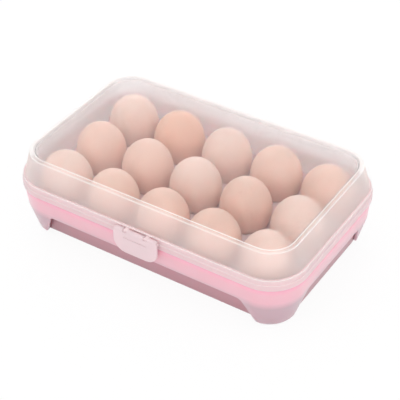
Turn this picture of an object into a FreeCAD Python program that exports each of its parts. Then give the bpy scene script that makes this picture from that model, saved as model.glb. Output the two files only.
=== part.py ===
import FreeCAD, Part
import math
import os

from FreeCAD import Vector

# Eggs: blunt end up, in a grid of columns along X and rows along Y
egg_columns = 5
egg_rows = ("front", "middle", "rear")
egg_diameter = 41.0
egg_blunt_length = 24.6
egg_pointed_length = 29.4
egg_foot_height = 10.3
egg_gap = 3.6
egg_headroom = 4.3
egg_bands = 8
turned_sides = 12

# Plan of the closed box: room between the egg grid and the lid's flange, and its corners
end_margin = 11.0
side_margin = 9.1
corner_radius = 30.0

# Base: tapered wall on four feet, with a ledge and a lip for the lid
base_wall = 1.8
foot_inset = 9.0
foot_edge_radius = 4.0
foot_floor = 1.8
foot_pad_width = 13.0
skirt_edge_inset = 2.4
seat_height = 41.0
seat_inset = 1.0
lip_height = 6.0

# Base: arches between the feet
foot_span = 38.0
foot_slant = 11.0
foot_end_radius = 9.0
arch_corner_radius = 4.5

# Base: deck of conical cups below the eggs' waists, and the plinth wall round them
deck_drop = 10.7
deck_rise = 4.5
deck_thickness = 1.8
plinth_edge_height = 1.2
plinth_edge_inset = 14.0
plinth_end_reach = 3.0
plinth_cup_gap = 0.5
cup_wall = 1.5
cup_seat_drop = 15.7
cup_floor_gap = 1.0
egg_clearance = 0.3

# Lid: stepped flange, sloping wall and raised top panel
lid_wall = 1.4
lid_gap = 0.4
lid_seat_gap = 0.2
flange_height = 9.0
flange_band_height = 4.8
flange_step_rise = 0.6
flange_step_inset = 0.7
flange_top_inset = 0.9
wall_foot_inset = 2.4
top_inset = 7.6
lid_edge_radius = 2.0
panel_inset = 10.3
panel_rise = 0.8
panel_draft = 0.5

# Clip hinges, made alike at the back of the box and on the latch
bar_radius = 0.9
running_clearance = 0.1
clip_wall = 0.9
clip_mouth = 1.5
hinge_gap = 0.3
ear_thickness = 2.0
ear_side_gap = 0.4

# Back hinge: two clips on the lid round two bars on the base
hinge_spacing = 120.0
hook_width = 14.0
hook_arm_height = 6.0
base_ear_drop = 6.5
base_ear_seat_gap = 0.6

# Front latch on two lugs of the lid, and the rib on the base that its bead catches under
lug_spacing = 18.0
lug_width = 3.0
latch_bar_inset = 1.0
latch_width = 38.0
latch_thickness = 1.5
latch_axis_rise = 7.2
latch_drop = 19.0
latch_foot_radius = 10.0
latch_head_radius = 3.5
groove_width = 20.0
groove_height = 1.6
groove_depth = 0.5
groove_drop = 4.0
catch_width = 26.0
catch_drop = 6.5
catch_thickness = 1.5
catch_reach = 2.0
bead_thickness = 1.7
bead_gap = 0.3
bead_overlap = 1.4

# One overrun serves every cut, and roundings of the walls' sections and the latch are so many flats
overrun = 2.0
edge_flats = 2
leaf_flats = 5

# Sizes that follow from the ones above
egg_radius = egg_diameter / 2
egg_pitch = egg_diameter + egg_gap
egg_waist_height = egg_foot_height + egg_pointed_length
egg_top_height = egg_waist_height + egg_blunt_length
half_length = egg_columns * egg_pitch / 2 + end_margin
half_width = len(egg_rows) * egg_pitch / 2 + side_margin
corner_x = half_length - corner_radius
corner_y = half_width - corner_radius
deck_height = egg_waist_height - deck_drop
deck_foot_height = deck_height - deck_thickness
skirt_edge_height = deck_height - deck_rise
lip_inset = lid_wall + lid_gap
lip_inner_inset = lip_inset + base_wall
lip_top_height = seat_height + lip_height
lid_foot_height = seat_height + lid_seat_gap
flange_step_height = lid_foot_height + flange_band_height
flange_top_height = seat_height + flange_height
top_height = egg_top_height + egg_headroom + lid_wall
shoulder_height = top_height - panel_rise
pane_inset = panel_inset + panel_draft + 2 * lid_wall
clip_bore_radius = bar_radius + running_clearance
clip_radius = clip_bore_radius + clip_wall
axis_standoff = clip_radius + hinge_gap
hinge_axis_y = half_width + axis_standoff
latch_axis_y = -half_width - axis_standoff
latch_axis_height = seat_height + latch_axis_rise
catch_foot_height = seat_height - catch_drop - catch_thickness
catch_tip_y = -half_width + seat_inset - catch_reach


def rounded_face(corners, place, flats=0):
    """Face inside an outline of (across, up, radius) corners, set in space by a placing function.

    Roundings are arcs, or chains of so many flats along their arcs.
    """
    arcs = []
    for index, (across, up, radius) in enumerate(corners):
        here = Vector(across, up, 0)
        before = (Vector(*corners[index - 1][:2], 0) - here).normalize()
        after = (Vector(*corners[(index + 1) % len(corners)][:2], 0) - here).normalize()
        half_angle = before.getAngle(after) / 2
        trim = radius / math.tan(half_angle)
        inward = (before + after).normalize() if radius else Vector(0, 0, 0)
        middle = here + inward * (radius / math.sin(half_angle) - radius)
        arcs.append((here + before * trim, middle, here + after * trim))
    edges = []
    for (start, middle, end), (following, _, _) in zip(arcs, arcs[1:] + arcs[:1]):
        if start != end:
            arc = Part.Arc(place(start), place(middle), place(end)).toShape()
            edges += Part.makePolygon(arc.discretize(flats + 1)).Edges if flats else [arc]
        edges.append(Part.makeLine(place(end), place(following)))
    return Part.Face(Part.Wire(edges))


def sharp(points):
    """Outline corners with no rounding."""
    return [(across, up, 0) for across, up in points]


def wall_ring(section, end_reach=0):
    """Wall of one upright section, given as (inset, height, radius), carried round the plan.

    The end reach makes the plan longer at each end.
    """
    reach_x = corner_x + end_reach

    def on_back(point):
        return Vector(-reach_x, half_width - point.x, point.y)

    def on_end(point):
        return Vector(half_length + end_reach - point.x, -corner_y, point.y)

    end_face = rounded_face(section, on_end, edge_flats)
    back = rounded_face(section, on_back, edge_flats).extrude(Vector(2 * reach_x, 0, 0))
    end = end_face.extrude(Vector(0, 2 * corner_y, 0))
    corner = end_face.translated(Vector(0, 2 * corner_y, 0))
    corner = corner.revolve(Vector(reach_x, corner_y, 0), Vector(0, 0, 1), 90)
    half = [back, end, corner, corner.mirror(Vector(0, 0, 0), Vector(0, 1, 0))]
    other_half = [piece.rotated(Vector(0, 0, 0), Vector(0, 0, 1), 180) for piece in half]
    return back.multiFuse(half[1:] + other_half).removeSplitter()


def plan_plate(inset, foot_height, head_height):
    """Flat plate over the whole plan, drawn in by an inset."""
    radius = corner_radius - inset
    half_x = half_length - inset
    half_y = half_width - inset
    corners = [(half_x, half_y, radius), (-half_x, half_y, radius)]
    corners += [(-half_x, -half_y, radius), (half_x, -half_y, radius)]
    face = rounded_face(corners, lambda point: Vector(point.x, point.y, foot_height))
    return face.extrude(Vector(0, 0, head_height - foot_height))


def plate_along_x(x_start, x_end, corners):
    """Plate square to X, from (y, z, radius) corners."""
    face = rounded_face(corners, lambda point: Vector(x_start, point.x, point.y))
    return face.extrude(Vector(x_end - x_start, 0, 0))


def bar_along_x(radius, x_start, x_end, y, z):
    """Round bar along X."""
    return Part.makeCylinder(radius, x_end - x_start, Vector(x_start, y, z), Vector(1, 0, 0))


def turned_solid(points):
    """Solid turned about the upright axis from (radius, height) points, foot first, with flat sides."""
    angles = [2 * math.pi * (side % turned_sides) / turned_sides for side in range(turned_sides + 1)]
    rings = [
        [Vector(radius * math.cos(angle), radius * math.sin(angle), height) for angle in angles]
        for radius, height in points
    ]
    outlines = [rings[0], rings[-1]]
    for lower, upper in zip(rings, rings[1:]):
        for side in range(turned_sides):
            outlines.append([lower[side], lower[side + 1], upper[side + 1], upper[side], lower[side]])
    faces = []
    for outline in outlines:
        corners = [corner for before, corner in zip(outline, outline[1:]) if corner != before]
        if len(corners) > 2:
            faces.append(Part.Face(Part.makePolygon(corners + corners[:1])))
    return Part.Solid(Part.Shell(faces))


def block_between(low, high):
    """Box between two opposite corners."""
    return Part.makeBox(high[0] - low[0], high[1] - low[1], high[2] - low[2], Vector(*low))


def arch_cutter(half_span, reach):
    """Prism along Y with slanted sides, rounded into the wall above and the feet below."""
    half_foot = half_span + foot_slant
    half_end = half_foot + 2 * foot_end_radius
    right = [(half_span, skirt_edge_height, arch_corner_radius), (half_foot, 0, foot_end_radius)]
    right += sharp([(half_end, 0), (half_end, -overrun)])
    left = [(-across, up, radius) for across, up, radius in reversed(right)]
    face = rounded_face(right + left, lambda point: Vector(point.x, -reach, point.y))
    return face.extrude(Vector(0, 2 * reach, 0))


def make_skirt():
    """Outer wall of the base with its lip, cut by arches so that four hollow feet are left."""
    pad_inset = foot_inset + foot_pad_width
    section = [(foot_inset, 0, foot_edge_radius)]
    section += sharp(
        [
            (skirt_edge_inset, skirt_edge_height),
            (seat_inset, seat_height),
            (lip_inset, seat_height),
            (lip_inset, lip_top_height),
            (lip_inner_inset, lip_top_height),
            (lip_inner_inset, seat_height),
            (skirt_edge_inset + base_wall, skirt_edge_height),
        ]
    )
    section += sharp([(foot_inset + base_wall, foot_floor), (pad_inset, foot_floor), (pad_inset, 0)])
    long_arch = arch_cutter(half_length - foot_span, half_width)
    short_arch = arch_cutter(half_width - foot_span, half_length)
    short_arch = short_arch.rotated(Vector(0, 0, 0), Vector(0, 0, 1), 90)
    return wall_ring(section).cut([long_arch, short_arch])


def egg_places():
    """Name and plan centre of each egg, row by row from the front."""
    for row, row_name in enumerate(egg_rows):
        y = (row - (len(egg_rows) - 1) / 2) * egg_pitch
        for column in range(egg_columns):
            x = (column - (egg_columns - 1) / 2) * egg_pitch
            yield f"egg_{row_name}_{column + 1}", x, y


def cup_radius(height):
    """Radius of a cup, a cone that runs along the egg's side at the seat with a clearance."""
    level_share = math.sqrt(1 - (cup_seat_drop / egg_pointed_length) ** 2)
    slope = egg_radius * cup_seat_drop / (egg_pointed_length**2 * level_share)
    rise = height - (egg_waist_height - cup_seat_drop)
    return egg_radius * level_share + slope * rise + egg_clearance * math.hypot(1, slope)


def cup_cone(foot_height, head_height, wall):
    """Cone of a cup between two heights, grown by a wall."""
    return turned_solid([(cup_radius(height) + wall, height) for height in (foot_height, head_height)])


def make_plinth():
    """Wall that hangs from the deck close round the cups, and stands on the pads of the feet."""
    cup_inset = side_margin + egg_pitch / 2 - cup_radius(deck_foot_height) - cup_wall
    head_inset = cup_inset - plinth_cup_gap - base_wall
    section = sharp(
        [
            (plinth_edge_inset, plinth_edge_height),
            (head_inset, deck_foot_height),
            (head_inset + base_wall, deck_foot_height),
            (plinth_edge_inset + base_wall, plinth_edge_height),
        ]
    )
    return wall_ring(section, plinth_end_reach)


def make_cup_deck():
    """Deck with a conical cup for each egg."""
    deck = plan_plate(skirt_edge_inset + base_wall / 2, deck_foot_height, deck_height)
    floor_height = egg_foot_height - cup_floor_gap
    cup = cup_cone(floor_height - cup_wall, deck_height, cup_wall)
    hollow = cup_cone(floor_height, deck_height + overrun, 0)
    places = [Vector(x, y, 0) for _, x, y in egg_places()]
    deck = deck.multiFuse([cup.translated(place) for place in places])
    return deck.cut([hollow.translated(place) for place in places])


def hinge_stations():
    """Middle of each back hinge along X."""
    return (-hinge_spacing / 2, hinge_spacing / 2)


def make_base_hinges():
    """Pairs of gusseted ears on the back of the base, each pair with a bar between."""
    wall_y = half_width - seat_inset - base_wall / 2
    gusset = sharp(
        [
            (wall_y, seat_height - base_ear_seat_gap),
            (hinge_axis_y, seat_height - base_ear_seat_gap),
            (hinge_axis_y, seat_height - clip_radius),
            (wall_y, seat_height - base_ear_drop),
        ]
    )
    reach = hook_width / 2 + ear_side_gap
    pieces = []
    for middle in hinge_stations():
        pieces.append(bar_along_x(bar_radius, middle - reach, middle + reach, hinge_axis_y, seat_height))
        for start in (middle - reach - ear_thickness, middle + reach):
            end = start + ear_thickness
            pieces.append(plate_along_x(start, end, gusset))
            pieces.append(bar_along_x(clip_radius, start, end, hinge_axis_y, seat_height))
    return pieces


def make_catch():
    """Rib on the front of the base that holds the latch's bead down."""
    wall_y = -half_width + skirt_edge_inset + base_wall / 2
    shelf_height = catch_foot_height + catch_thickness
    profile = sharp(
        [
            (wall_y, catch_foot_height),
            (catch_tip_y, catch_foot_height),
            (catch_tip_y, shelf_height),
            (wall_y, shelf_height + catch_reach),
        ]
    )
    return plate_along_x(-catch_width / 2, catch_width / 2, profile)


def make_base():
    """Base moulding in three nodes that meet face to face: wall with feet, cup deck and plinth."""
    wall = make_skirt().multiFuse([make_catch()] + make_base_hinges()).removeSplitter()
    deck = make_cup_deck().cut(wall).removeSplitter()
    plinth = make_plinth().cut([wall, deck]).removeSplitter()
    return wall, deck, plinth


def make_lid_wall():
    """Lid's flange, wall and ledge, with the raised edge that runs round the top pane."""
    ceiling = shoulder_height - lid_wall
    section = sharp(
        [
            (0, lid_foot_height),
            (0, flange_step_height),
            (flange_step_inset, flange_step_height + flange_step_rise),
            (flange_top_inset, flange_top_height),
            (wall_foot_inset, flange_top_height),
        ]
    )
    section.append((top_inset, shoulder_height, lid_edge_radius))
    section += sharp(
        [
            (panel_inset, shoulder_height),
            (panel_inset + panel_draft, top_height),
            (pane_inset, top_height),
            (pane_inset, top_height - lid_wall),
            (panel_inset + panel_draft + lid_wall, top_height - lid_wall),
            (panel_inset + lid_wall, ceiling),
            (top_inset + lid_wall, ceiling),
            (wall_foot_inset + lid_wall, flange_top_height - lid_wall),
            (lid_wall, flange_top_height - lid_wall),
            (lid_wall, lid_foot_height),
        ]
    )
    return wall_ring(section)


def clip_cutter(x_start, x_end, y, z, mouth):
    """Cutter of a clip, past both ends: the bore round its bar and the narrower mouth that snaps over it."""
    x_start -= overrun
    x_end += overrun
    bore = bar_along_x(clip_bore_radius, x_start, x_end, y, z)
    side = Vector(0, -mouth.z, mouth.y) * (clip_mouth / 2)
    root = Vector(0, y, z)
    end = root + mouth * (clip_radius + overrun)
    corners = [(point.y, point.z) for point in (root + side, end + side, end - side, root - side)]
    return bore.fuse(plate_along_x(x_start, x_end, sharp(corners)))


def make_hooks():
    """Arms with round heads on the back of the lid's flange, and the cutters that open them."""
    wall_y = half_width - lid_wall / 2
    outer_y = hinge_axis_y + clip_radius
    profile = sharp(
        [
            (wall_y, lid_foot_height),
            (hinge_axis_y, seat_height),
            (outer_y, seat_height),
            (outer_y, seat_height + hook_arm_height / 2),
            (wall_y, seat_height + hook_arm_height),
        ]
    )
    arms = []
    cutters = []
    for middle in hinge_stations():
        start = middle - hook_width / 2
        end = middle + hook_width / 2
        arms.append(plate_along_x(start, end, profile))
        arms.append(bar_along_x(clip_radius, start, end, hinge_axis_y, seat_height))
        cutters.append(clip_cutter(start, end, hinge_axis_y, seat_height, Vector(0, 0, -1)))
    return arms, cutters


def lug_stations():
    """Both ends along X of each lug that carries the latch's bar."""
    middles = (-lug_spacing / 2, lug_spacing / 2)
    return [(middle - lug_width / 2, middle + lug_width / 2) for middle in middles]


def make_latch_lugs():
    """Lugs on the front of the lid's flange, and the latch's bar along their noses."""
    reach = latch_width / 2 - latch_bar_inset
    wall_y = -half_width + flange_top_inset + lid_wall / 2
    foot = latch_axis_height - bar_radius
    head = latch_axis_height + bar_radius
    profile = sharp([(wall_y, foot), (latch_axis_y, foot), (latch_axis_y, head), (wall_y, head)])
    bar = bar_along_x(bar_radius, -reach, reach, latch_axis_y, latch_axis_height)
    return [bar] + [plate_along_x(start, end, profile) for start, end in lug_stations()]


def make_lid():
    """Lid moulding in two nodes that meet edge to edge: frosted wall with clips and lugs, clear pane."""
    arms, cutters = make_hooks()
    wall = make_lid_wall().multiFuse(arms + make_latch_lugs()).cut(cutters).removeSplitter()
    return wall, plan_plate(pane_inset, top_height - lid_wall, top_height)


def lug_notches():
    """Cutters that keep the latch clear of each lug through its swing."""
    back_y = latch_axis_y + clip_radius + overrun
    head = latch_axis_height + clip_radius + overrun
    cutters = []
    for start, end in lug_stations():
        start -= ear_side_gap
        end += ear_side_gap
        low = (start, latch_axis_y, latch_axis_height - clip_radius - overrun)
        cutters.append(block_between(low, (end, back_y, head)))
        low = (start, latch_axis_y - clip_radius - overrun, latch_axis_height - bar_radius / 2)
        cutters.append(block_between(low, (end, back_y, head)))
    return cutters


def make_latch():
    """Snap latch: clip barrel at the top, plate with a round foot, bead inside, groove outside."""
    half = latch_width / 2
    face_y = latch_axis_y - clip_radius
    back_y = face_y + latch_thickness
    foot = latch_axis_height - latch_drop
    head = latch_axis_height + clip_radius
    plate = block_between((-half, face_y, foot), (half, back_y, latch_axis_height))
    barrel = bar_along_x(clip_radius, -half, half, latch_axis_y, latch_axis_height)
    corners = [(-half, foot, latch_foot_radius), (half, foot, latch_foot_radius)]
    corners += [(half, head, latch_head_radius), (-half, head, latch_head_radius)]
    outline = rounded_face(corners, lambda point: Vector(point.x, face_y, point.y), leaf_flats)
    outline = outline.extrude(Vector(0, 2 * clip_radius, 0))
    leaf = plate.fuse(barrel).common(outline)
    bead_top = catch_foot_height - bead_gap
    bead_root_y = back_y - latch_thickness / 2
    bead = sharp(
        [
            (bead_root_y, bead_top),
            (catch_tip_y + bead_overlap, bead_top),
            (catch_tip_y + bead_overlap, bead_top - bead_thickness / 2),
            (bead_root_y, bead_top - 2 * bead_thickness),
        ]
    )
    bead = plate_along_x(-catch_width / 2, catch_width / 2, bead)
    groove_top = latch_axis_height - groove_drop
    groove = block_between(
        (-groove_width / 2, face_y - overrun, groove_top - groove_height),
        (groove_width / 2, face_y + groove_depth, groove_top),
    )
    bore = clip_cutter(-half, half, latch_axis_y, latch_axis_height, Vector(0, 1, 0))
    return leaf.fuse(bead).cut([groove, bore] + lug_notches()).removeSplitter()


def make_egg():
    """Egg on the upright axis: two half ellipses of unequal length, one above the other."""
    points = []
    for band in range(egg_bands + 1):
        turn = math.pi * (band / egg_bands - 1 / 2)
        reach = egg_blunt_length if turn > 0 else egg_pointed_length
        radius = egg_radius * math.cos(turn) if 0 < band < egg_bands else 0
        points.append((radius, egg_waist_height + reach * math.sin(turn)))
    return turned_solid(points)


def write_node(name, shape):
    """Write one node, after making sure that it is a single sound solid."""
    if len(shape.Solids) != 1 or not shape.isValid():
        raise ValueError(f"{name} is not one sound solid")
    shape.Solids[0].exportStep(f"parts/{name}.step")


os.makedirs("parts", exist_ok=True)
for base_name, base_shape in zip(("base_tray", "cup_deck", "base_plinth"), make_base()):
    write_node(base_name, base_shape)
for lid_name, lid_shape in zip(("lid", "lid_pane"), make_lid()):
    write_node(lid_name, lid_shape)
write_node("front_latch", make_latch())
egg = make_egg()
for egg_name, egg_x, egg_y in egg_places():
    write_node(egg_name, egg.translated(Vector(egg_x, egg_y, 0)))
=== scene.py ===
"""Looks of an egg box: pink cup tray on corner feet, clear lid with frosted walls, milky latch, eggs."""

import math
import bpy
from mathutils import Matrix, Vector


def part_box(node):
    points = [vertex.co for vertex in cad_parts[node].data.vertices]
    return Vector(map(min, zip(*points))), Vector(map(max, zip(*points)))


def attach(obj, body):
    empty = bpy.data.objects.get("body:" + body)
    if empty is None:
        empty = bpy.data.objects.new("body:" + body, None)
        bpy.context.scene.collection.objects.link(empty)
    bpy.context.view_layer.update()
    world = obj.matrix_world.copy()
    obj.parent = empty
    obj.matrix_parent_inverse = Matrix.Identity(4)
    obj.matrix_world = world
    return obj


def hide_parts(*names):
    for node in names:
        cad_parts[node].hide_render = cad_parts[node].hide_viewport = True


bl_info = {
    "name": "Egg box",
    "version": (1, 0, 0),
    "blender": (4, 5, 0),
    "location": "View3D > Sidebar > Egg box",
    "description": "Dresses the egg box with plastics, eggs and a studio",
    "category": "Object",
}

import bpy
from bpy.props import FloatProperty, FloatVectorProperty, IntProperty, PointerProperty
from mathutils import Matrix, Vector

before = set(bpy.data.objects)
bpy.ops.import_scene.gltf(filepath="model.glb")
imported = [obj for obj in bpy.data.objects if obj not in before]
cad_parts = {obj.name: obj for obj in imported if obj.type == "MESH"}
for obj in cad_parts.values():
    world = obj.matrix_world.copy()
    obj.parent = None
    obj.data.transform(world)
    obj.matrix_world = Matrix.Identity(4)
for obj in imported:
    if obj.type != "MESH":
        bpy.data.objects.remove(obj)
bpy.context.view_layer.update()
lid_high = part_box("lid")[1]
latch_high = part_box("front_latch")[1]

WHITE = (1.0, 1.0, 1.0)

# Height up to which the tray's colours, painted shade and painted light are spread, depth of fine grain and
# gap that is welded, in metres
SHADE_REACH = 0.050
GRAIN_DEPTH = 0.0002
WELD_GAP = 1e-5

# Angle past which an edge of a new piece stays sharp, and the angle that leaves every edge smooth
CREASE = math.radians(50)
NO_CREASE = math.pi

# Angle past which an edge of a solid is rounded, and the steps of its rounding
ROUNDED_ANGLE = math.radians(35)
ROUNDED_STEPS = 2

# Noise values between which a mottled colour turns lighter
MOTTLE_LOW = 0.30
MOTTLE_HIGH = 0.70

# Noise values between which a speckle on an egg fades out, and how dark it is
SPECKLE_LOW = 0.30
SPECKLE_HIGH = 0.36
SPECKLE_SHADE = 0.86

# Lowest and highest roughness of the see-through plastics
CLEAR = (0.05, 0.09)
POLISHED = (0.25, 0.35)
MILKY = (0.35, 0.45)
SATIN = (0.36, 0.44)
FROSTED = (0.40, 0.48)

# Zones of the lid's shell, in the order of its plastics; the third paints highlight lines on the lid's
# roundings
PANEL, FROST, EDGE_HIGHLIGHT, FLANGE, INSIDE = range(5)

# How far a side of the lid faces the front, or the right and not the back, for the painted highlights on its
# ridge lines to show, as on a lit side
FRONT_FACING = 0.8
RIGHT_FACING = 0.1
BACK_FACING = 0.05

# How far a face of the tray's wall points up to count as its upper face
UPWARD = 0.5

# Directions of an arc, in degrees from the back, and where a clip's outer arc meets the lid
UP = 90
DOWN = -90
FULL_TURN = 360
CLIP_ROOT = 176

# Steps in radians from egg to egg that vary their width and their lean
WIDTH_STEP = 2.3
LEAN_STEP = 1.7
TIP_STEP = 2.9


def length_property(name, description, default):
    """Length in metres."""
    return FloatProperty(name=name, description=description, default=default, unit="LENGTH", precision=4)


def place_property(name, description, default):
    """Place in metres."""
    return FloatVectorProperty(
        name=name, description=description, default=default, size=3, subtype="XYZ", unit="LENGTH"
    )


def angle_property(name, description, default):
    """Angle in radians."""
    return FloatProperty(name=name, description=description, default=default, subtype="ANGLE")


def colour_property(name, description, default):
    """Colour in linear light."""
    return FloatVectorProperty(
        name=name, description=description, default=default, size=3, subtype="COLOR", min=0, max=1
    )


def share_property(name, description, default):
    """Number from 0 to 1."""
    return FloatProperty(name=name, description=description, default=default, subtype="FACTOR", min=0, max=1)


def factor_property(name, description, default):
    """Number that something is multiplied by."""
    return FloatProperty(name=name, description=description, default=default, min=0)


def power_property(name, description, default):
    """Power in watts."""
    return FloatProperty(name=name, description=description, default=default, unit="POWER")


def camera_property(name, description, default):
    """Length in a camera, in millimetres."""
    return FloatProperty(name=name, description=description, default=default, unit="CAMERA")


def count_property(name, description, default):
    """Whole number."""
    return IntProperty(name=name, description=description, default=default, min=1)


class EggBoxTraySizes(bpy.types.PropertyGroup):
    """Heights at which the tray's colours, painted shade and painted highlights change, and the rounding of
    its edges.
    """

    # Below foot_top the wall takes the feet's colour, its pink painted darker and greyer as shade
    foot_top: length_property("Foot top", "Up to where the wall has the colour of the feet", 0.0205)
    pink_low: length_property("Pink low", "From where the wall and its edges are pink", 0.0275)
    pink_high: length_property("Pink high", "Up to where the wall is pink", 0.0350)
    # From line_low up the wall takes a deeper pink painted as the shadow under the lid's flange
    line_low: length_property("Line low", "From where the wall has the line under the lid", 0.0395)
    shadow_top: length_property("Shadow top", "Up to where foot edges and plinth keep a colour", 0.0200)
    # Height from where the plinth's painted shadow is darkest
    plinth_high: length_property("Plinth high", "From where the plinth is darkest", 0.0270)
    deck_low: length_property("Deck low", "Up to where cups and inner face keep a colour", 0.0280)
    # Height from where the cups' rims carry a painted highlight
    deck_high: length_property("Deck high", "From where the cups' rims are palest", 0.0290)
    # Height from where the inner face's painted light is strongest
    inside_high: length_property("Inside high", "From where the wall's inner face is palest", 0.0450)
    # Heights of the painted highlight on the tray's rounded edges
    edge_high: length_property("Edge high", "Up to where the edges are pink", 0.0405)
    lip_low: length_property("Lip low", "From where the edges are as pale as the inside", 0.0415)
    softness: length_property("Softness", "Rounding of the edges of the wall and cups", 0.0004)
    plinth_softness: length_property("Plinth softness", "Rounding of the plinth's edges", 0.0003)


class EggBoxLidSizes(bpy.types.PropertyGroup):
    """Section of the lid: insets from the flange's outer face, heights above the floor."""

    half_width: length_property("Half width", "From the middle to the flange's front face", 0.076)
    corner_radius: length_property("Corner radius", "Radius of the flange's corners in plan", 0.030)
    wall: length_property("Wall", "Thickness of the lid", 0.0014)
    foot_height: length_property("Foot height", "Height of the flange's lower edge", 0.0412)
    step_height: length_property("Step height", "Height of the line round the flange", 0.0460)
    step_rise: length_property("Step rise", "Rise of the slope above that line", 0.0006)
    step_inset: length_property("Step inset", "Inset of the flange above that line", 0.0007)
    flange_top: length_property("Flange top", "Height of the flange's upper face", 0.0500)
    flange_top_inset: length_property("Flange top inset", "Inset of the flange's upper edge", 0.0009)
    wall_foot_inset: length_property("Wall foot inset", "Inset of the wall where it meets the flange", 0.0024)
    shoulder_height: length_property("Shoulder height", "Height of the ledge round the panel", 0.0692)
    shoulder_inset: length_property("Shoulder inset", "Inset of the ledge's outer edge", 0.0076)
    shoulder_radius: length_property("Shoulder radius", "Rounding of the ledge's outer edge", 0.0006)
    panel_inset: length_property("Panel inset", "Inset of the raised panel's foot", 0.0103)
    panel_draft: length_property("Panel draft", "Slope of the raised panel's edge", 0.0005)
    softness: length_property("Softness", "Rounding of the other edges", 0.0003)
    frost_back: length_property("Frost at the back", "From the middle to where the panel frosts", 0.034)
    frost_ends: length_property("Frost at the ends", "From the middle to where the panel frosts", 0.086)
    frost_fade: length_property("Frost fade", "Width over which the panel's frosting sets in", 0.024)
    corner_steps: count_property("Corner steps", "Steps round each corner in plan", 24)
    edge_steps: count_property("Edge steps", "Steps across each rounding", 4)


class EggBoxHingeSizes(bpy.types.PropertyGroup):
    """Clips of the back hinge, lugs of the latch, which are parts of the lid, and the latch's edges."""

    axis_standoff: length_property("Axis standoff", "From the flange to the pivots", 0.0022)
    seat_height: length_property("Seat height", "Height of the base's ledge and of the back pivots", 0.0410)
    latch_axis_height: length_property("Latch axis height", "Height of the latch's pivot", 0.0482)
    bar_radius: length_property("Bar radius", "Radius of the pivot bars", 0.0009)
    bore_radius: length_property("Bore radius", "Radius inside a clip", 0.0010)
    clip_radius: length_property("Clip radius", "Radius outside a clip", 0.0019)
    mouth: length_property("Mouth", "Width of a clip's mouth", 0.0015)
    hook_spacing: length_property("Hook spacing", "Between the middles of the back clips", 0.120)
    hook_width: length_property("Hook width", "Width of a back clip", 0.014)
    hook_rise: length_property("Hook rise", "Height of a back clip's arm above its pivot", 0.006)
    lug_spacing: length_property("Lug spacing", "Between the middles of the latch's lugs", 0.018)
    lug_width: length_property("Lug width", "Width of a lug", 0.003)
    bar_inset: length_property("Bar inset", "From the latch's end to the end of its bar", 0.001)
    latch_softness: length_property("Latch softness", "Rounding of the latch's edges", 0.0003)
    arc_steps: count_property("Arc steps", "Steps round a clip's bore, a lug's end and the bar", 20)


class EggBoxEggSizes(bpy.types.PropertyGroup):
    """Fineness and spread of the eggs, which take their sizes from their nodes."""

    waist_share: share_property("Waist share", "Height of the widest place in the egg's length", 0.5444)
    point_share: share_property("Point share", "How much the lower half narrows to a point", 0.10)
    tilt: angle_property("Tilt", "Largest lean of an egg", 0.03)
    spread_share: share_property("Spread share", "Largest shortfall of an egg's width", 0.03)
    sides: count_property("Sides", "Steps round an egg", 56)
    bands: count_property("Bands", "Steps along an egg", 40)


class EggBoxColours(bpy.types.PropertyGroup):
    """Colours of the plastics and eggs, some with painted shade or light, and how much lighter or darker
    painted highlights and shadows make them.
    """

    pink: colour_property("Pink", "Outer face of the tray's wall", (0.870, 0.485, 0.548))
    # Deeper pink painted as the shadow under the lid's flange
    flange_shadow_pink: colour_property("Pink line", "Tray right under the lid", (0.940, 0.450, 0.560))
    # Feet: the tray's pink painted darker and greyer, as the shade of the hollow behind them
    foot: colour_property("Foot", "Feet of the tray", (0.560, 0.375, 0.425))
    # Painted highlight: how much lighter the rounded edges of the feet are
    foot_edge_highlight: factor_property("Foot edge lift", "How much lighter the feet's edges are", 1.2)
    # Inner face: the tray's plastic painted near white as light, paler than its pink outside
    inside: colour_property("Inside", "Inner face of the tray's wall", (0.980, 0.920, 0.925))
    inside_top_light: factor_property("Inside lift", "How much lighter the inner face is at its top", 1.03)
    deck: colour_property("Deck", "Cups and deck of the tray", (0.970, 0.650, 0.660))
    # Painted highlight: how much lighter the cups' rims are
    deck_rim_highlight: factor_property("Deck lift", "How much lighter the cups' rims are", 1.05)
    # Plinth: the tray's pink painted dark as the shadow under the overhanging rim
    plinth: colour_property("Plinth", "Wall set back between the feet", (0.535, 0.267, 0.312))
    plinth_top_shadow: factor_property("Plinth shade", "How dark the plinth is at its top", 0.8)
    # Painted highlight on the tray's rounded edges
    tray_edge_highlight: colour_property("Tray edge", "Edges of the tray", (0.930, 0.700, 0.740))
    tray_haze: share_property("Tray haze", "Pale haze on the outside of the tray", 0.3)
    clear: colour_property("Clear", "Lid's clear panel", (0.990, 0.985, 0.988))
    frost: colour_property("Frost", "Lid's frosted walls", (1.000, 0.958, 0.958))
    frost_haze: colour_property("Frost haze", "Haze on the frosted walls", (1.000, 0.820, 0.760))
    frost_inside: colour_property("Frost inside", "Inner faces of the frosted walls", (1.000, 0.985, 0.995))
    # Painted highlight lines on the roundings round the lid's top and flange
    lid_edge_highlight: colour_property("Lid edge", "Lines round the lid's top", (0.990, 0.960, 0.945))
    milk: colour_property("Milk", "Latch", (0.925, 0.765, 0.790))
    # Painted highlight: how much lighter the latch's rounded edges are
    milk_edge_highlight: factor_property("Milk edge lift", "How much lighter the latch's edges are", 1.08)
    flange: colour_property("Flange", "Lid's flange and hinge clips", (0.955, 0.785, 0.800))
    egg_pale: colour_property("Pale egg", "Palest eggs", (0.900, 0.672, 0.582))
    egg_mid: colour_property("Middle egg", "Most eggs", (0.890, 0.615, 0.508))
    egg_deep: colour_property("Deep egg", "Darkest eggs", (0.880, 0.540, 0.405))


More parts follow.
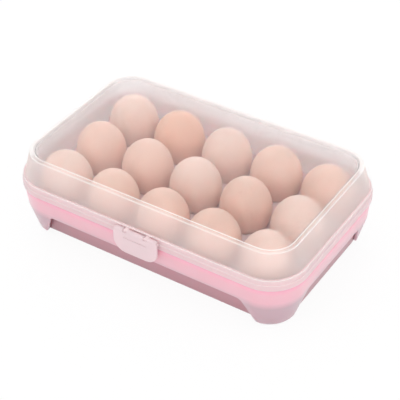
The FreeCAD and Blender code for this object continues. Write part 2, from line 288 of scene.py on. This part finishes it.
class EggBoxStage(bpy.types.PropertyGroup):
    """Camera, floor and light."""

    azimuth: angle_property("Azimuth", "Camera's turn", math.radians(33.85))
    elevation: angle_property("Elevation", "Camera's height", math.radians(38.68))
    roll: angle_property("Roll", "Camera's roll", math.radians(-1.21))
    distance: length_property("Distance", "Camera to its target", 0.9406)
    target: place_property("Target", "Point that the camera looks at", (0.00428, -0.00109, 0.030))
    lens: camera_property("Lens", "Focal length", 110.78)
    sensor: camera_property("Sensor", "Width of the sensor", 36.0)
    near: length_property("Near", "Nearest that the camera sees", 0.05)
    far: length_property("Far", "Farthest that the camera sees", 50.0)
    floor_reach: length_property("Floor reach", "Half the floor's side", 4.0)
    floor_grey: share_property("Floor grey", "Brightness of the floor under its veil", 0.93)
    floor_veil: share_property("Floor veil", "How much the white floor hides the shadow", 0.92)
    world_light: factor_property("World light", "Strength of the even light", 1.0)
    key_power: power_property("Key power", "Power of the lamp overhead", 1.2)
    key_side: length_property("Key side", "Side of the lamp overhead", 1.2)
    key_place: place_property("Key place", "Place of the lamp overhead", (-0.30, -0.20, 1.15))
    fill_power: power_property("Fill power", "Power of the lamp in front", 2.8)
    fill_side: length_property("Fill side", "Side of the lamp in front", 1.0)
    fill_place: place_property("Fill place", "Place of the lamp in front", (0.85, -0.95, 0.50))
    back_power: power_property("Back power", "Power of the lamp behind", 2.8)
    back_side: length_property("Back side", "Side of the lamp behind", 0.9)
    back_place: place_property("Back place", "Place of the lamp behind", (-0.55, 0.95, 0.40))


class NodeTree:
    """Short way to lay nodes out in one tree."""

    def __init__(self, owner):
        owner.use_nodes = True
        self.tree = owner.node_tree
        self.tree.nodes.clear()

    def add(self, kind, inputs=(), **settings):
        """Node of a kind with its settings, and inputs by name: sockets are linked, others are set."""
        node = self.tree.nodes.new(kind)
        for key, value in settings.items():
            setattr(node, key, value)
        for key, value in dict(inputs).items():
            self.put(node, key, value)
        return node

    def put(self, node, key, value):
        """Link or set one input."""
        if isinstance(value, bpy.types.NodeSocket):
            self.tree.links.new(value, node.inputs[key])
        else:
            node.inputs[key].default_value = value

    def coordinates(self):
        """Coordinates that stay with a piece, in metres."""
        return self.add("ShaderNodeTexCoord").outputs["Object"]

    def axes(self, coordinates):
        """Coordinates by axis."""
        return self.add("ShaderNodeSeparateXYZ", {"Vector": coordinates}).outputs

    def ramp(self, factor, stops):
        """Colour ramp from (place, colour) stops."""
        node = self.add("ShaderNodeValToRGB", {"Fac": factor})
        elements = node.color_ramp.elements
        while len(elements) < len(stops):
            elements.new(1.0)
        for element, (place, colour) in zip(elements, stops):
            element.position = place
            element.color = (*colour, 1.0)
        return node.outputs["Color"]

    def noise(self, coordinates, scale, detail=3.0):
        """Noise value with a scale in repeats per metre."""
        node = self.add("ShaderNodeTexNoise", {"Vector": coordinates, "Scale": scale, "Detail": detail})
        return node.outputs["Fac"]

    def spread(self, value, low, high):
        """Value from 0 to 1 carried to a range."""
        node = self.add("ShaderNodeMapRange", {"Value": value, "To Min": low, "To Max": high})
        return node.outputs["Result"]

    def rise(self, value, start, end):
        """Value that goes from 0 at a start to 1 at an end."""
        node = self.add("ShaderNodeMapRange", {"Value": value, "From Min": start, "From Max": end})
        return node.outputs["Result"]

    def calculate(self, operation, *values):
        """Result of an operation on numbers or sockets."""
        return self.add("ShaderNodeMath", enumerate(values), operation=operation).outputs["Value"]

    def tint(self, colour, value, low, high):
        """Colour socket made a little darker and lighter by a value."""
        level = self.spread(value, low, high)
        return self.add("ShaderNodeHueSaturation", {"Color": colour, "Value": level}).outputs["Color"]

    def mottled(self, colour, value, low, high):
        """Plain colour made a little darker and lighter by a noise value."""
        return self.ramp(value, [(MOTTLE_LOW, scaled(colour, low)), (MOTTLE_HIGH, scaled(colour, high))])

    def grain(self, height, strength):
        """Normal with a fine grain."""
        node = self.add("ShaderNodeBump", {"Height": height, "Strength": strength, "Distance": GRAIN_DEPTH})
        return node.outputs["Normal"]

    def blend(self, share, first, second):
        """Mix of two shaders, with a share of the second."""
        return self.add("ShaderNodeMixShader", {0: share, 1: first, 2: second}).outputs["Shader"]

    def finish(self, shader):
        """Give a material's tree its surface."""
        self.add("ShaderNodeOutputMaterial", {"Surface": shader})


def scaled(colour, factor):
    """Colour times a factor."""
    return tuple(min(1.0, channel * factor) for channel in colour)


def satin_plastic(name, stops, haze=0.0):
    """Satin plastic that light enters, with (height, colour) stops that carry painted shade and light, and a
    pale haze.
    """
    material = bpy.data.materials.new(name)
    tree = NodeTree(material)
    place = tree.coordinates()
    rise = tree.rise(tree.axes(place)["Z"], 0.0, SHADE_REACH)
    shade = tree.ramp(rise, [(height / SHADE_REACH, colour) for height, colour in stops])
    mottle = tree.noise(place, scale=45.0)
    shader = tree.add(
        "ShaderNodeBsdfPrincipled",
        {
            "Base Color": tree.tint(shade, mottle, low=0.96, high=1.03),
            "Roughness": tree.spread(mottle, low=0.32, high=0.46),
            "Normal": tree.grain(tree.noise(place, scale=1500.0, detail=2.0), strength=0.06),
            "Subsurface Weight": 0.8,
            "Subsurface Radius": (1.0, 0.55, 0.60),
            "Subsurface Scale": 0.006,
            "Sheen Weight": haze,
            "Sheen Roughness": 0.45,
        },
    )
    tree.finish(shader.outputs["BSDF"])
    return material


def frosted_margin(tree, place, size):
    """Value that rises from 0 on the lid's panel to 1 at its back and ends."""
    axes = tree.axes(place)
    along = tree.calculate("ABSOLUTE", axes["X"])
    back = tree.rise(axes["Y"], size.frost_back, size.frost_back + size.frost_fade)
    ends = tree.rise(along, size.frost_ends, size.frost_ends + size.frost_fade)
    return tree.calculate("MAXIMUM", back, ends)


def see_through_plastic(
    name, colour, clearness, roughness, light_share, haze=0.0, haze_colour=WHITE, panel=None
):
    """Plastic that is seen through by its clearness and lets a share of the lamps' light through.

    Its roughness is a (low, high) pair, from clear to frosted, and its haze makes it milky at a flat angle.
    The lid's sizes, given as panel, add a fine grain that sets in at the panel's back and ends.
    """
    material = bpy.data.materials.new(name)
    tree = NodeTree(material)
    place = tree.coordinates()
    mottle = tree.noise(place, scale=60.0)
    shader = tree.add(
        "ShaderNodeBsdfPrincipled",
        {
            "Base Color": tree.mottled(colour, mottle, low=0.985, high=1.0),
            "Roughness": tree.spread(mottle, *roughness),
            "Transmission Weight": clearness,
            "IOR": 1.25,
            "Sheen Weight": haze,
            "Sheen Roughness": 0.6,
            "Sheen Tint": (*haze_colour, 1.0),
        },
    )
    if panel:
        frosting = tree.noise(place, scale=2500.0, detail=1.0)
        tree.put(shader, "Normal", tree.grain(frosting, strength=frosted_margin(tree, place, panel)))
    passing = tree.add("ShaderNodeBsdfTransparent", {"Color": (*colour, 1.0)})
    lamp_ray = tree.add("ShaderNodeLightPath").outputs["Is Shadow Ray"]
    lamp_share = tree.calculate("MULTIPLY", lamp_ray, light_share)
    tree.finish(tree.blend(lamp_share, shader.outputs["BSDF"], passing.outputs["BSDF"]))
    return material


def eggshell(name, colour):
    """Matte shell with soft mottling, fine pores and a few faint speckles."""
    material = bpy.data.materials.new(name)
    tree = NodeTree(material)
    place = tree.coordinates()
    mottle = tree.noise(place, scale=55.0, detail=4.0)
    speckle = tree.noise(place, scale=700.0, detail=2.0)
    pores = tree.noise(place, scale=3000.0, detail=1.0)
    shade = tree.mottled(colour, mottle, low=0.95, high=1.04)
    spots = tree.ramp(speckle, [(SPECKLE_LOW, scaled(colour, SPECKLE_SHADE)), (SPECKLE_HIGH, WHITE)])
    mixed = tree.add(
        "ShaderNodeMix",
        {"Factor": 0.5, "A": shade, "B": spots},
        data_type="RGBA",
        blend_type="MULTIPLY",
    )
    shader = tree.add(
        "ShaderNodeBsdfPrincipled",
        {
            "Base Color": mixed.outputs["Result"],
            "Roughness": tree.spread(mottle, low=0.52, high=0.66),
            "Normal": tree.grain(pores, strength=0.05),
            "Subsurface Weight": 0.6,
            "Subsurface Radius": (1.0, 0.50, 0.45),
            "Subsurface Scale": 0.012,
        },
    )
    tree.finish(shader.outputs["BSDF"])
    return material


def new_piece(name, vertices, faces, body, materials, zones=None, crease=CREASE):
    """Smooth mesh piece that rides on a body, with the index of a material for each face as its zones."""
    mesh = bpy.data.meshes.new(name)
    mesh.from_pydata([tuple(vertex) for vertex in vertices], [], faces)
    mesh.validate()
    for material in materials:
        mesh.materials.append(material)
    for index, polygon in enumerate(mesh.polygons):
        polygon.use_smooth = True
        if zones:
            polygon.material_index = zones[index]
    mesh.set_sharp_from_angle(angle=crease)
    mesh.update()
    piece = bpy.data.objects.new(name, mesh)
    bpy.context.scene.collection.objects.link(piece)
    level = piece.modifiers.new("level_faces", "WEIGHTED_NORMAL")
    level.keep_sharp = True
    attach(piece, body)
    return piece


def dress_node(name, materials, softness):
    """Give a solid of the frame its materials, welded facets and rounded edges of the last material, which
    paints a highlight on those edges where there are two or more.
    """
    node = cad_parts[name]
    node.data.materials.clear()
    for material in materials:
        node.data.materials.append(material)
    for polygon in node.data.polygons:
        polygon.use_smooth = True
        polygon.material_index = 0
    weld = node.modifiers.new("weld", "WELD")
    weld.merge_threshold = WELD_GAP
    bevel = node.modifiers.new("soft_edges", "BEVEL")
    bevel.width = softness
    bevel.segments = ROUNDED_STEPS
    bevel.limit_method = "ANGLE"
    bevel.angle_limit = ROUNDED_ANGLE
    bevel.harden_normals = True
    bevel.material = len(materials) - 1
    return node


def rounded_outline(corners, steps):
    """Points of a closed outline of (across, up, radius, zone of rounding, zone of next side) corners."""
    points = []
    zones = []
    for index, (across, up, radius, rounding_zone, side_zone) in enumerate(corners):
        here = Vector((across, up))
        if not radius:
            points.append(here)
            zones.append(side_zone)
            continue
        before = (Vector(corners[index - 1][:2]) - here).normalized()
        after = (Vector(corners[(index + 1) % len(corners)][:2]) - here).normalized()
        half_angle = before.angle(after) / 2
        middle = here + (before + after).normalized() * (radius / math.sin(half_angle))
        start = here + before * (radius / math.tan(half_angle)) - middle
        end = here + after * (radius / math.tan(half_angle)) - middle
        for step in range(steps + 1):
            share = step / steps
            arm = (start * (1 - share) + end * share).normalized() * radius
            points.append(middle + arm)
            zones.append(rounding_zone if step < steps else side_zone)
    return points, zones


def plan_stations(half_length, half_width, corner_radius, steps):
    """Corner centre and outward direction of each station round the plan."""
    stations = []
    for corner, (side_x, side_y) in enumerate(((1, 1), (-1, 1), (-1, -1), (1, -1))):
        centre = Vector((side_x * (half_length - corner_radius), side_y * (half_width - corner_radius)))
        for step in range(steps + 1):
            angle = math.radians(90) * (corner + step / steps)
            stations.append((centre, Vector((math.cos(angle), math.sin(angle)))))
    return stations


def circle_points(y, z, radius, start, end, steps):
    """Points on an arc in the plane of y and z, in degrees from +y towards +z."""
    angles = [math.radians(start + (end - start) * step / steps) for step in range(steps + 1)]
    return [(y + radius * math.cos(angle), z + radius * math.sin(angle)) for angle in angles]


def prism_along_x(outline, middle, width):
    """Vertices and faces of a prism with a (y, z) outline."""
    count = len(outline)
    vertices = [Vector((x, y, z)) for x in (middle - width / 2, middle + width / 2) for y, z in outline]
    faces = [(side, (side + 1) % count, count + (side + 1) % count, count + side) for side in range(count)]
    faces += [tuple(range(count)), tuple(reversed(range(count, 2 * count)))]
    return vertices, faces


class EGGBOX_OT_tray(bpy.types.Operator):
    """Dress the cup tray in pink plastic, with painted shade and painted highlights"""

    bl_idname = "egg_box.tray"
    bl_label = "Cup tray"

    def execute(self, context):
        size = context.scene.egg_box_tray
        colours = context.scene.egg_box_colours
        outer = satin_plastic(
            "pink_plastic",
            [
                # Painted shade on the feet
                (size.foot_top, colours.foot),
                (size.pink_low, colours.pink),
                (size.pink_high, colours.pink),
                # Painted shadow under the lid's flange
                (size.line_low, colours.flange_shadow_pink),
            ],
            colours.tray_haze,
        )
        # Inner face and rim top painted near white as light, lighter still towards the top
        palest = scaled(colours.inside, colours.inside_top_light)
        inner = satin_plastic("inside_painted_light", [(size.deck_low, colours.inside), (size.inside_high, palest)])
        # Rounded edges painted lighter than their faces as a highlight, as pale as the inside at the lip
        pale = satin_plastic(
            "pale_edge",
            [
                (size.shadow_top, scaled(colours.foot, colours.foot_edge_highlight)),
                (size.pink_low, colours.tray_edge_highlight),
                (size.edge_high, colours.tray_edge_highlight),
                (size.lip_low, colours.inside),
            ],
            colours.tray_haze,
        )
        # Plinth painted dark as shadow, darker still towards its top under the rim
        dark = scaled(colours.plinth, colours.plinth_top_shadow)
        deep = satin_plastic("plinth_painted_shadow", [(size.shadow_top, colours.plinth), (size.plinth_high, dark)])
        # Cups in their own colour, their rims painted lighter as a highlight
        rims = scaled(colours.deck, colours.deck_rim_highlight)
        cups = satin_plastic("cup_plastic_rim_highlight", [(size.deck_low, colours.deck), (size.deck_high, rims)])
        plastics = [outer, inner, pale]
        wall = dress_node("base_tray", plastics, size.softness)
        deck_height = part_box("cup_deck")[1].z
        # Inner and upward faces above the deck take the inside's painted light
        for polygon in wall.data.polygons:
            middle, facing = polygon.center, polygon.normal
            inward = middle.x * facing.x + middle.y * facing.y < 0
            if middle.z > deck_height and (inward or facing.z > UPWARD):
                polygon.material_index = plastics.index(inner)
        dress_node("cup_deck", [cups], size.softness)
        dress_node("base_plinth", [deep], size.plinth_softness)
        return {"FINISHED"}


class EGGBOX_OT_lid(bpy.types.Operator):
    """Build the lid with its stepped flange, frosted wall, ledge and clear raised panel"""

    bl_idname = "egg_box.lid"
    bl_label = "Lid"

    def execute(self, context):
        size = context.scene.egg_box_lid
        rim = Vector((size.panel_inset + size.panel_draft + 2 * size.wall, lid_high.z))
        points, lit_side_zones = rounded_outline(self.section(size, rim), size.edge_steps)
        rim_top = points.index(rim)
        unlit_side_zones = self.faded(size, points, lit_side_zones, rim_top)
        stations = plan_stations(lid_high.x, size.half_width, size.corner_radius, size.corner_steps)
        count = len(points)
        vertices = []
        faces = []
        zones = []
        for station, (centre, outward) in enumerate(stations):
            for inset, height in points:
                flat = centre + outward * (size.corner_radius - inset)
                vertices.append(Vector((flat.x, flat.y, height)))
            # Only the lit front and right sides show the painted highlight lines
            right_end = outward.x > RIGHT_FACING and outward.y < BACK_FACING
            highlights_show = outward.y < -FRONT_FACING or right_end
            side_zones = lit_side_zones if highlights_show else unlit_side_zones
            here = station * count
            there = (station + 1) % len(stations) * count
            for index in range(count):
                if index != rim_top:
                    after = (index + 1) % count
                    faces.append((here + index, there + index, there + after, here + after))
                    zones.append(side_zones[index])
        for below in (0, 1):
            loop = [station * count + rim_top + below for station in range(len(stations))]
            faces.append(tuple(loop if below == 0 else reversed(loop)))
            zones.append(PANEL)
        plastics = self.plastics(size, context.scene.egg_box_colours)
        shell = new_piece("lid_shell", vertices, faces, "lid", plastics, zones)
        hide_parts("lid", "lid_pane")
        return {"FINISHED"}

    def section(self, size, rim):
        """Corners of the lid's section, up its outside to the rim of the flat panel and down its inside."""
        soft, foot, wall = size.softness, size.foot_height, size.wall
        ceiling = size.shoulder_height - wall
        panel_edge = size.panel_inset + size.panel_draft
        return [
            (0, foot, soft, FLANGE, FLANGE),
            (0, size.step_height, soft, EDGE_HIGHLIGHT, FLANGE),
            (size.step_inset, size.step_height + size.step_rise, soft, FLANGE, FLANGE),
            (size.flange_top_inset, size.flange_top, soft, EDGE_HIGHLIGHT, FLANGE),
            (size.wall_foot_inset, size.flange_top, soft, FLANGE, FROST),
            (size.shoulder_inset, size.shoulder_height, size.shoulder_radius, EDGE_HIGHLIGHT, FROST),
            (size.panel_inset, size.shoulder_height, soft, PANEL, EDGE_HIGHLIGHT),
            (panel_edge, rim.y, soft, EDGE_HIGHLIGHT, PANEL),
            (rim.x, rim.y, 0, PANEL, PANEL),
            (rim.x, rim.y - wall, 0, PANEL, PANEL),
            (panel_edge + wall, rim.y - wall, soft, PANEL, PANEL),
            (size.panel_inset + wall, ceiling, soft, PANEL, PANEL),
            (size.shoulder_inset + wall, ceiling, soft, INSIDE, INSIDE),
            (size.wall_foot_inset + wall, size.flange_top - wall, soft, FLANGE, FLANGE),
            (wall, size.flange_top - wall, soft, FLANGE, FLANGE),
            (wall, foot, soft, FLANGE, FLANGE),
        ]

    def faded(self, size, points, zones, rim_top):
        """Zones of an unlit side, whose ridge lines get no painted highlight: the ledge is painted pale all
        over and frosted below.
        """
        ledge_foot = size.shoulder_height - size.shoulder_radius
        first_ledge = next(index for index, point in enumerate(points) if point.y > ledge_foot)
        faded = list(zones)
        for index, zone in enumerate(zones):
            if first_ledge <= index < rim_top - 1:
                faded[index] = EDGE_HIGHLIGHT
            elif index > rim_top and zone == PANEL:
                faded[index] = INSIDE
        return faded

    def plastics(self, size, colours):
        """Plastics of the lid, in the order of its zones."""
        return [
            see_through_plastic(
                "clear_plastic", colours.clear, clearness=0.97, roughness=CLEAR, light_share=1.0, panel=size
            ),
            see_through_plastic(
                "frosted_plastic",
                colours.frost,
                clearness=0.80,
                roughness=FROSTED,
                light_share=0.97,
                haze=0.70,
                haze_colour=colours.frost_haze,
            ),
            # Pale, hardly clear plastic that paints the highlight lines
            see_through_plastic(
                "lid_painted_highlight", colours.lid_edge_highlight, clearness=0.25, roughness=POLISHED, light_share=0.9
            ),
            see_through_plastic(
                "flange_plastic", colours.flange, clearness=0.45, roughness=SATIN, light_share=0.9, haze=0.1
            ),
            see_through_plastic(
                "frosted_inside",
                colours.frost_inside,
                clearness=0.94,
                roughness=FROSTED,
                light_share=0.97,
                haze=1.0,
            ),
        ]


class EGGBOX_OT_hinges(bpy.types.Operator):
    """Build the lid's back clips, and the lugs and bar that carry the latch"""

    bl_idname = "egg_box.hinges"
    bl_label = "Hinge clips and latch lugs"

    def execute(self, context):
        size = context.scene.egg_box_hinges
        lid = context.scene.egg_box_lid
        colours = context.scene.egg_box_colours
        plastic = see_through_plastic(
            "hinge_plastic", colours.flange, clearness=0.15, roughness=MILKY, light_share=0.9
        )
        axis_y = lid.half_width + size.axis_standoff
        root_y = lid.half_width - lid.wall / 2
        hook = self.hook_outline(size, lid, axis_y, root_y)
        lug = self.lug_outline(size, -axis_y, lid.flange_top_inset - root_y)
        for name, outline, spacing, width in (
            ("lid_hook", hook, size.hook_spacing, size.hook_width),
            ("latch_lug", lug, size.lug_spacing, size.lug_width),
        ):
            for side, word in ((-1, "left"), (1, "right")):
                self.extrude(f"{name}_{word}", outline, side * spacing / 2, width, plastic)
        last_angle = FULL_TURN - FULL_TURN / size.arc_steps
        bar = circle_points(
            -axis_y, size.latch_axis_height, size.bar_radius, 0, last_angle, size.arc_steps - 1
        )
        self.extrude("latch_bar", bar, 0, 2 * (latch_high.x - size.bar_inset), plastic)
        return {"FINISHED"}

    def hook_outline(self, size, lid, axis_y, root_y):
        """Back clip: an arm from the flange and a ring round the pivot that is open at the bottom."""
        seat, outer, bore, steps = size.seat_height, size.clip_radius, size.bore_radius, size.arc_steps
        outer_half = math.degrees(math.asin(size.mouth / 2 / outer))
        inner_half = math.degrees(math.asin(size.mouth / 2 / bore))
        down_again = DOWN + FULL_TURN
        outline = [(root_y, seat + size.hook_rise), (axis_y + outer, seat + size.hook_rise / 2)]
        outline += circle_points(axis_y, seat, outer, 0, DOWN + outer_half, steps // 2)
        outline += circle_points(axis_y, seat, bore, DOWN + inner_half, down_again - inner_half, steps)
        outline += circle_points(axis_y, seat, outer, down_again - outer_half, CLIP_ROOT, steps // 2)
        outline.append((root_y, lid.foot_height))
        return outline

    def lug_outline(self, size, axis_y, root_y):
        """Lug from the flange, round at the latch's pivot."""
        height, radius = size.latch_axis_height, size.bar_radius
        outline = [(root_y, height + radius)]
        outline += circle_points(axis_y, height, radius, UP, DOWN + FULL_TURN, size.arc_steps)
        outline.append((root_y, height - radius))
        return outline

    def extrude(self, name, outline, middle, width, plastic):
        """Piece of the lid with one outline along its width."""
        vertices, faces = prism_along_x(outline, middle, width)
        new_piece(name, vertices, faces, "lid", [plastic])


class EGGBOX_OT_latch(bpy.types.Operator):
    """Dress the latch in milky plastic, with a painted highlight on its rounded edges"""

    bl_idname = "egg_box.latch"
    bl_label = "Latch"

    def execute(self, context):
        size = context.scene.egg_box_hinges
        colours = context.scene.egg_box_colours
        milk = see_through_plastic(
            "milky_plastic", colours.milk, clearness=0.30, roughness=MILKY, light_share=0.92
        )
        # Rounded edges painted lighter as a highlight
        pale = scaled(colours.milk, colours.milk_edge_highlight)
        rim = see_through_plastic(
            "milky_edge_highlight", pale, clearness=0.15, roughness=POLISHED, light_share=0.92
        )
        dress_node("front_latch", [milk, rim], size.latch_softness)
        return {"FINISHED"}


class EGGBOX_OT_eggs(bpy.types.Operator):
    """Lay a smooth egg in each cup"""

    bl_idname = "egg_box.eggs"
    bl_label = "Eggs"

    def execute(self, context):
        size = context.scene.egg_box_eggs
        colours = context.scene.egg_box_colours
        shells = {
            "pale": eggshell("eggshell_pale", colours.egg_pale),
            "mid": eggshell("eggshell_mid", colours.egg_mid),
            "deep": eggshell("eggshell_deep", colours.egg_deep),
        }
        # Each row has a number for its first egg, which varies the eggs, and a tone for each egg
        rows = (
            ("front", 5, ("pale", "mid", "mid", "mid", "pale")),
            ("middle", 6, ("mid", "mid", "pale", "mid", "pale")),
            ("rear", 4, ("pale", "deep", "pale", "mid", "mid")),
        )
        for row, first, tones in rows:
            for column, tone in enumerate(tones):
                self.lay(f"egg_{row}_{column + 1}", shells[tone], size, first + column)
        return {"FINISHED"}

    def lay(self, node, shell, size, number):
        """One egg inside its node's box, leaning and slimmed a little by its number."""
        low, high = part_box(node)
        middle = (low + high) / 2
        waist = low.z + (high.z - low.z) * size.waist_share
        slim = 1 - size.spread_share * (math.sin(WIDTH_STEP * number) + 1) / 2
        radius = (high.x - low.x) / 2 * slim
        vertices, faces = self.shell_mesh(size, radius, high.z - waist, waist - low.z)
        turn = Matrix.Rotation(size.tilt * math.sin(LEAN_STEP * number), 3, "X")
        turn = turn @ Matrix.Rotation(size.tilt * math.cos(TIP_STEP * number), 3, "Y")
        turn = turn @ Matrix.Rotation(number, 3, "Z")
        placed = [turn @ vertex + Vector((middle.x, middle.y, waist)) for vertex in vertices]
        egg = new_piece(f"{node}_shell", placed, faces, node, [shell], crease=NO_CREASE)
        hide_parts(node)

    def shell_mesh(self, size, radius, rise, drop):
        """Vertices and faces of an egg about its waist, with its rise above it and its drop below it."""
        sides, bands = size.sides, size.bands
        vertices = [Vector((0, 0, -drop))]
        for band in range(1, bands):
            turn = math.pi * (band / bands - 0.5)
            height = (rise if turn > 0 else drop) * math.sin(turn)
            narrow = 1 - size.point_share * math.sin(turn) ** 2 * (turn < 0)
            ring = radius * math.cos(turn) * narrow
            for side in range(sides):
                angle = 2 * math.pi * side / sides
                vertices.append(Vector((ring * math.cos(angle), ring * math.sin(angle), height)))
        vertices.append(Vector((0, 0, rise)))
        faces = []
        last = 1 + (bands - 2) * sides
        for side in range(sides):
            after = (side + 1) % sides
            faces.append((0, 1 + after, 1 + side))
            for lower in range(1, last, sides):
                upper = lower + sides
                faces.append((lower + side, lower + after, upper + after, upper + side))
            faces.append((last + side, last + after, len(vertices) - 1))
        return vertices, faces


class EGGBOX_OT_stage(bpy.types.Operator):
    """Set the floor, the lamps, the world and the camera"""

    bl_idname = "egg_box.stage"
    bl_label = "Stage"

    def execute(self, context):
        size = context.scene.egg_box_stage
        scene = context.scene
        scene.view_settings.view_transform = "Standard"
        self.lay_floor(scene, size)
        self.light_world(scene, size)
        self.hang_lamp(scene, "key_lamp", size.key_power, size.key_side, Vector(size.key_place))
        self.hang_lamp(scene, "fill_lamp", size.fill_power, size.fill_side, Vector(size.fill_place))
        self.hang_lamp(scene, "back_lamp", size.back_power, size.back_side, Vector(size.back_place))
        self.set_camera(scene, size)
        return {"FINISHED"}

    def seen_ray(self, tree):
        """One for rays that show the background: from the camera, in gloss and through plastic."""
        rays = tree.add("ShaderNodeLightPath").outputs
        indirect = tree.calculate("MAXIMUM", rays["Is Glossy Ray"], rays["Is Transmission Ray"])
        return tree.calculate("MAXIMUM", indirect, rays["Is Camera Ray"])

    def lay_floor(self, scene, size):
        """Plain white floor that keeps a faint shadow."""
        reach, grey = size.floor_reach, size.floor_grey
        mesh = bpy.data.meshes.new("floor")
        corners = [(-reach, -reach, 0), (reach, -reach, 0), (reach, reach, 0), (-reach, reach, 0)]
        mesh.from_pydata(corners, [], [(0, 1, 2, 3)])
        material = bpy.data.materials.new("white_floor")
        tree = NodeTree(material)
        veil = tree.calculate("MULTIPLY", self.seen_ray(tree), size.floor_veil)
        matte = tree.add("ShaderNodeBsdfDiffuse", {"Color": (grey, grey, grey, 1.0)})
        white = tree.add("ShaderNodeEmission", {"Color": (*WHITE, 1.0), "Strength": 1.0})
        tree.finish(tree.blend(veil, matte.outputs["BSDF"], white.outputs["Emission"]))
        mesh.materials.append(material)
        floor = bpy.data.objects.new("floor", mesh)
        scene.collection.objects.link(floor)

    def light_world(self, scene, size):
        """Even white light, of full strength where it is seen."""
        world = bpy.data.worlds.new("studio")
        scene.world = world
        tree = NodeTree(world)
        even = tree.add("ShaderNodeBackground", {"Color": (*WHITE, 1.0), "Strength": size.world_light})
        white = tree.add("ShaderNodeBackground", {"Color": (*WHITE, 1.0), "Strength": 1.0})
        mixed = tree.blend(self.seen_ray(tree), even.outputs["Background"], white.outputs["Background"])
        tree.add("ShaderNodeOutputWorld", {"Surface": mixed})

    def hang_lamp(self, scene, name, power, side, place):
        """Square soft lamp that faces the box."""
        data = bpy.data.lights.new(name, "AREA")
        data.energy = power
        data.size = side
        lamp = bpy.data.objects.new(name, data)
        lamp.location = place
        lamp.rotation_euler = place.to_track_quat("Z", "Y").to_euler()
        scene.collection.objects.link(lamp)

    def set_camera(self, scene, size):
        """Camera at the photographed angle."""
        back = Vector(
            (
                math.sin(size.azimuth) * math.cos(size.elevation),
                -math.cos(size.azimuth) * math.cos(size.elevation),
                math.sin(size.elevation),
            )
        )
        level = Vector((math.cos(size.azimuth), math.sin(size.azimuth), 0))
        upright = back.cross(level)
        right = level * math.cos(size.roll) + upright * math.sin(size.roll)
        up = upright * math.cos(size.roll) - level * math.sin(size.roll)
        data = bpy.data.cameras.new("camera")
        data.sensor_width = size.sensor
        data.lens = size.lens
        data.clip_start = size.near
        data.clip_end = size.far
        camera = bpy.data.objects.new("camera", data)
        turn = Matrix((right, up, back)).transposed().to_4x4()
        camera.matrix_world = Matrix.Translation(Vector(size.target) + back * size.distance) @ turn
        scene.collection.objects.link(camera)
        scene.camera = camera


class EGGBOX_PT_panel(bpy.types.Panel):
    """Buttons that dress the egg box"""

    bl_idname = "EGGBOX_PT_panel"
    bl_label = "Egg box"
    bl_space_type = "VIEW_3D"
    bl_region_type = "UI"
    bl_category = "Egg box"

    def draw(self, context):
        for operator in OPERATORS:
            self.layout.operator(operator.bl_idname)
        for name in GROUPS:
            group = getattr(context.scene, name)
            box = self.layout.box()
            for key in group.__annotations__:
                box.prop(group, key)


GROUPS = {
    "egg_box_tray": EggBoxTraySizes,
    "egg_box_lid": EggBoxLidSizes,
    "egg_box_hinges": EggBoxHingeSizes,
    "egg_box_eggs": EggBoxEggSizes,
    "egg_box_colours": EggBoxColours,
    "egg_box_stage": EggBoxStage,
}
OPERATORS = (
    EGGBOX_OT_tray,
    EGGBOX_OT_lid,
    EGGBOX_OT_hinges,
    EGGBOX_OT_latch,
    EGGBOX_OT_eggs,
    EGGBOX_OT_stage,
)


def register():
    """Make the properties, the operators and the panel known."""
    for name, group in GROUPS.items():
        bpy.utils.register_class(group)
        setattr(bpy.types.Scene, name, PointerProperty(type=group))
    for operator in OPERATORS:
        bpy.utils.register_class(operator)
    bpy.utils.register_class(EGGBOX_PT_panel)


def unregister():
    """Take them away again, in the opposite order."""
    bpy.utils.unregister_class(EGGBOX_PT_panel)
    for operator in reversed(OPERATORS):
        bpy.utils.unregister_class(operator)
    for name, group in reversed(GROUPS.items()):
        delattr(bpy.types.Scene, name)
        bpy.utils.unregister_class(group)


def main():
    """Dress the box in order."""
    register()
    bpy.ops.egg_box.tray()
    bpy.ops.egg_box.lid()
    bpy.ops.egg_box.hinges()
    bpy.ops.egg_box.latch()
    bpy.ops.egg_box.eggs()
    bpy.ops.egg_box.stage()


if __name__ == "__main__":
    main()
